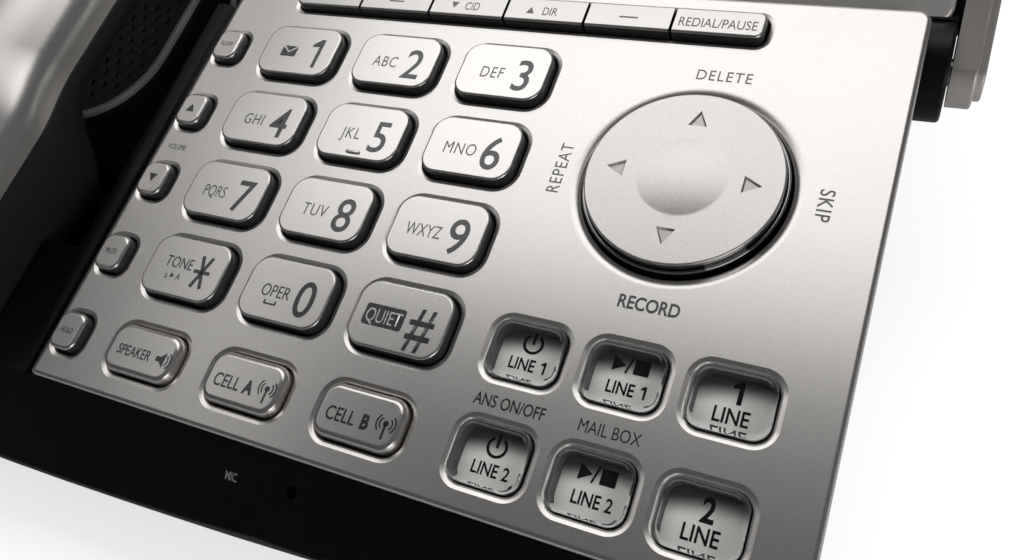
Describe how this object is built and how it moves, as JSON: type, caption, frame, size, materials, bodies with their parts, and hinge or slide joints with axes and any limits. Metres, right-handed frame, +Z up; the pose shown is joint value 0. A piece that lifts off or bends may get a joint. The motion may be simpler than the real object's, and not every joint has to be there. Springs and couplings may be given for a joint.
{
  "type": "corded desk telephone",
  "caption": "Multi-line corded desk telephone: wedge base with a sloping silver key panel, round rocker pad, tilting display, and a handset in a cradle over a speaker grille.",
  "frame": {"origin": "on the desk, under the middle of the telephone's outline", "axes": "+Z up, +X to the user's right, +Y away from the user, towards the rear sockets"},
  "size_m": [0.2021, 0.1958, 0.095],
  "materials": {
    "silver_paint": "satin silver paint",
    "clear_plastic": "clear, polished",
    "black_plastic": "satin black",
    "bright_trim": "bright plated",
    "dark_plastic": "dull",
    "rubber": "dull",
    "circuit_board": "lacquered",
    "steel": "zinc plated",
    "window": "clear, polished",
    "lcd": "unlit"
  },
  "bodies": {
    "base": {"fascia_panel": "silver_paint", "keypad_mat": "rubber", "key_board": "circuit_board", "upper_case": "black_plastic", "lower_case": "black_plastic", "case_screws": "steel", "rubber_feet": "rubber", "main_board": "circuit_board", "modular_jacks": "dark_plastic", "power_inlet": "black_plastic", "speaker_grille": "black_plastic", "speaker": "steel", "base_microphone": "steel", "hinge_pins": "steel"},
    "display": {"display_case": "black_plastic", "display_frame": "silver_paint", "display_window": "window", "lcd_module": "lcd", "display_arms": "bright_trim"},
    "handset": {"handset_shell": "silver_paint", "handset_face": "black_plastic", "ear_receiver": "steel", "mouth_microphone": "steel", "handset_jack": "dark_plastic"},
    "hook": {"hook_button": "dark_plastic"},
    "nav_gimbal": {"nav_rocker": "dark_plastic"},
    "nav_pad": {"nav_disc": "silver_paint", "nav_ring": "bright_trim"},
    "dial_key_1": {"dial_key_1": "silver_paint"},
    "dial_key_2": {"dial_key_2": "silver_paint"},
    "dial_key_3": {"dial_key_3": "silver_paint"},
    "dial_key_4": {"dial_key_4": "silver_paint"},
    "dial_key_5": {"dial_key_5": "silver_paint"},
    "dial_key_6": {"dial_key_6": "silver_paint"},
    "dial_key_7": {"dial_key_7": "silver_paint"},
    "dial_key_8": {"dial_key_8": "silver_paint"},
    "dial_key_9": {"dial_key_9": "silver_paint"},
    "dial_key_star": {"dial_key_star": "silver_paint"},
    "dial_key_0": {"dial_key_0": "silver_paint"},
    "dial_key_pound": {"dial_key_pound": "silver_paint"},
    "speaker_key": {"speaker_key": "silver_paint"},
    "cell_key_a": {"cell_key_a": "silver_paint"},
    "cell_key_b": {"cell_key_b": "silver_paint"},
    "flash_key": {"flash_key": "silver_paint"},
    "volume_up_key": {"volume_up_key": "silver_paint"},
    "volume_down_key": {"volume_down_key": "silver_paint"},
    "mute_key": {"mute_key": "silver_paint"},
    "hold_key": {"hold_key": "silver_paint"},
    "soft_key_1": {"soft_key_1": "silver_paint"},
    "soft_key_2": {"soft_key_2": "silver_paint"},
    "soft_key_3": {"soft_key_3": "silver_paint"},
    "soft_key_4": {"soft_key_4": "silver_paint"},
    "soft_key_5": {"soft_key_5": "silver_paint"},
    "soft_key_6": {"soft_key_6": "silver_paint"},
    "answer_key_1": {"answer_key_1": "clear_plastic"},
    "play_key_1": {"play_key_1": "clear_plastic"},
    "line_key_1": {"line_key_1": "clear_plastic"},
    "answer_key_2": {"answer_key_2": "clear_plastic"},
    "play_key_2": {"play_key_2": "clear_plastic"},
    "line_key_2": {"line_key_2": "clear_plastic"}
  },
  "joints": [
    {"name": "display_tilt", "type": "hinge", "parent": "base", "child": "display", "pos_m": [0.03185, -0.00396, 0.03872], "axis": [1, 0, 0], "range_deg": [-22, 0]},
    {"name": "handset_lift", "type": "slide", "parent": "base", "child": "handset", "axis": [0, -0.2588, 0.9659], "range_m": [0, 0.06]},
    {"name": "hook_rise", "type": "slide", "parent": "base", "child": "hook", "axis": [0, -0.2588, 0.9659], "range_m": [0, 0.004]},
    {"name": "nav_tip_up_down", "type": "hinge", "parent": "base", "child": "nav_gimbal", "pos_m": [0.0657, -0.03542, 0.03712], "axis": [1, 0, 0], "range_deg": [-2.2, 2.2], "stiffness_Nm_per_rad": 1},
    {"name": "nav_tip_left_right", "type": "hinge", "parent": "nav_gimbal", "child": "nav_pad", "pos_m": [0.0657, -0.03542, 0.03712], "axis": [0, 0.9659, 0.2588], "range_deg": [-2.2, 2.2], "stiffness_Nm_per_rad": 1},
    {"name": "dial_key_1_press", "type": "slide", "parent": "base", "child": "dial_key_1", "axis": [0, 0.2588, -0.9659], "range_m": [0, 0.0012], "stiffness_N_per_m": 500},
    {"name": "dial_key_2_press", "type": "slide", "parent": "base", "child": "dial_key_2", "axis": [0, 0.2588, -0.9659], "range_m": [0, 0.0012], "stiffness_N_per_m": 500},
    {"name": "dial_key_3_press", "type": "slide", "parent": "base", "child": "dial_key_3", "axis": [0, 0.2588, -0.9659], "range_m": [0, 0.0012], "stiffness_N_per_m": 500},
    {"name": "dial_key_4_press", "type": "slide", "parent": "base", "child": "dial_key_4", "axis": [0, 0.2588, -0.9659], "range_m": [0, 0.0012], "stiffness_N_per_m": 500},
    {"name": "dial_key_5_press", "type": "slide", "parent": "base", "child": "dial_key_5", "axis": [0, 0.2588, -0.9659], "range_m": [0, 0.0012], "stiffness_N_per_m": 500},
    {"name": "dial_key_6_press", "type": "slide", "parent": "base", "child": "dial_key_6", "axis": [0, 0.2588, -0.9659], "range_m": [0, 0.0012], "stiffness_N_per_m": 500},
    {"name": "dial_key_7_press", "type": "slide", "parent": "base", "child": "dial_key_7", "axis": [0, 0.2588, -0.9659], "range_m": [0, 0.0012], "stiffness_N_per_m": 500},
    {"name": "dial_key_8_press", "type": "slide", "parent": "base", "child": "dial_key_8", "axis": [0, 0.2588, -0.9659], "range_m": [0, 0.0012], "stiffness_N_per_m": 500},
    {"name": "dial_key_9_press", "type": "slide", "parent": "base", "child": "dial_key_9", "axis": [0, 0.2588, -0.9659], "range_m": [0, 0.0012], "stiffness_N_per_m": 500},
    {"name": "dial_key_star_press", "type": "slide", "parent": "base", "child": "dial_key_star", "axis": [0, 0.2588, -0.9659], "range_m": [0, 0.0012], "stiffness_N_per_m": 500},
    {"name": "dial_key_0_press", "type": "slide", "parent": "base", "child": "dial_key_0", "axis": [0, 0.2588, -0.9659], "range_m": [0, 0.0012], "stiffness_N_per_m": 500},
    {"name": "dial_key_pound_press", "type": "slide", "parent": "base", "child": "dial_key_pound", "axis": [0, 0.2588, -0.9659], "range_m": [0, 0.0012], "stiffness_N_per_m": 500},
    {"name": "speaker_key_press", "type": "slide", "parent": "base", "child": "speaker_key", "axis": [0, 0.2588, -0.9659], "range_m": [0, 0.0012], "stiffness_N_per_m": 500},
    {"name": "cell_key_a_press", "type": "slide", "parent": "base", "child": "cell_key_a", "axis": [0, 0.2588, -0.9659], "range_m": [0, 0.0012], "stiffness_N_per_m": 500},
    {"name": "cell_key_b_press", "type": "slide", "parent": "base", "child": "cell_key_b", "axis": [0, 0.2588, -0.9659], "range_m": [0, 0.0012], "stiffness_N_per_m": 500},
    {"name": "flash_key_press", "type": "slide", "parent": "base", "child": "flash_key", "axis": [0, 0.2588, -0.9659], "range_m": [0, 0.0012], "stiffness_N_per_m": 500},
    {"name": "volume_up_key_press", "type": "slide", "parent": "base", "child": "volume_up_key", "axis": [0, 0.2588, -0.9659], "range_m": [0, 0.0012], "stiffness_N_per_m": 500},
    {"name": "volume_down_key_press", "type": "slide", "parent": "base", "child": "volume_down_key", "axis": [0, 0.2588, -0.9659], "range_m": [0, 0.0012], "stiffness_N_per_m": 500},
    {"name": "mute_key_press", "type": "slide", "parent": "base", "child": "mute_key", "axis": [0, 0.2588, -0.9659], "range_m": [0, 0.0012], "stiffness_N_per_m": 500},
    {"name": "hold_key_press", "type": "slide", "parent": "base", "child": "hold_key", "axis": [0, 0.2588, -0.9659], "range_m": [0, 0.0012], "stiffness_N_per_m": 500},
    {"name": "soft_key_1_press", "type": "slide", "parent": "base", "child": "soft_key_1", "axis": [0, 0.2588, -0.9659], "range_m": [0, 0.0012], "stiffness_N_per_m": 500},
    {"name": "soft_key_2_press", "type": "slide", "parent": "base", "child": "soft_key_2", "axis": [0, 0.2588, -0.9659], "range_m": [0, 0.0012], "stiffness_N_per_m": 500},
    {"name": "soft_key_3_press", "type": "slide", "parent": "base", "child": "soft_key_3", "axis": [0, 0.2588, -0.9659], "range_m": [0, 0.0012], "stiffness_N_per_m": 500},
    {"name": "soft_key_4_press", "type": "slide", "parent": "base", "child": "soft_key_4", "axis": [0, 0.2588, -0.9659], "range_m": [0, 0.0012], "stiffness_N_per_m": 500},
    {"name": "soft_key_5_press", "type": "slide", "parent": "base", "child": "soft_key_5", "axis": [0, 0.2588, -0.9659], "range_m": [0, 0.0012], "stiffness_N_per_m": 500},
    {"name": "soft_key_6_press", "type": "slide", "parent": "base", "child": "soft_key_6", "axis": [0, 0.2588, -0.9659], "range_m": [0, 0.0012], "stiffness_N_per_m": 500},
    {"name": "answer_key_1_press", "type": "slide", "parent": "base", "child": "answer_key_1", "axis": [0, 0.2588, -0.9659], "range_m": [0, 0.0012], "stiffness_N_per_m": 500},
    {"name": "play_key_1_press", "type": "slide", "parent": "base", "child": "play_key_1", "axis": [0, 0.2588, -0.9659], "range_m": [0, 0.0012], "stiffness_N_per_m": 500},
    {"name": "line_key_1_press", "type": "slide", "parent": "base", "child": "line_key_1", "axis": [0, 0.2588, -0.9659], "range_m": [0, 0.0012], "stiffness_N_per_m": 500},
    {"name": "answer_key_2_press", "type": "slide", "parent": "base", "child": "answer_key_2", "axis": [0, 0.2588, -0.9659], "range_m": [0, 0.0012], "stiffness_N_per_m": 500},
    {"name": "play_key_2_press", "type": "slide", "parent": "base", "child": "play_key_2", "axis": [0, 0.2588, -0.9659], "range_m": [0, 0.0012], "stiffness_N_per_m": 500},
    {"name": "line_key_2_press", "type": "slide", "parent": "base", "child": "line_key_2", "axis": [0, 0.2588, -0.9659], "range_m": [0, 0.0012], "stiffness_N_per_m": 500}
  ],
  "couplings": [
    {"joint": "hook_rise", "follows": "handset_lift", "ratio": 0.0666}
  ]
}
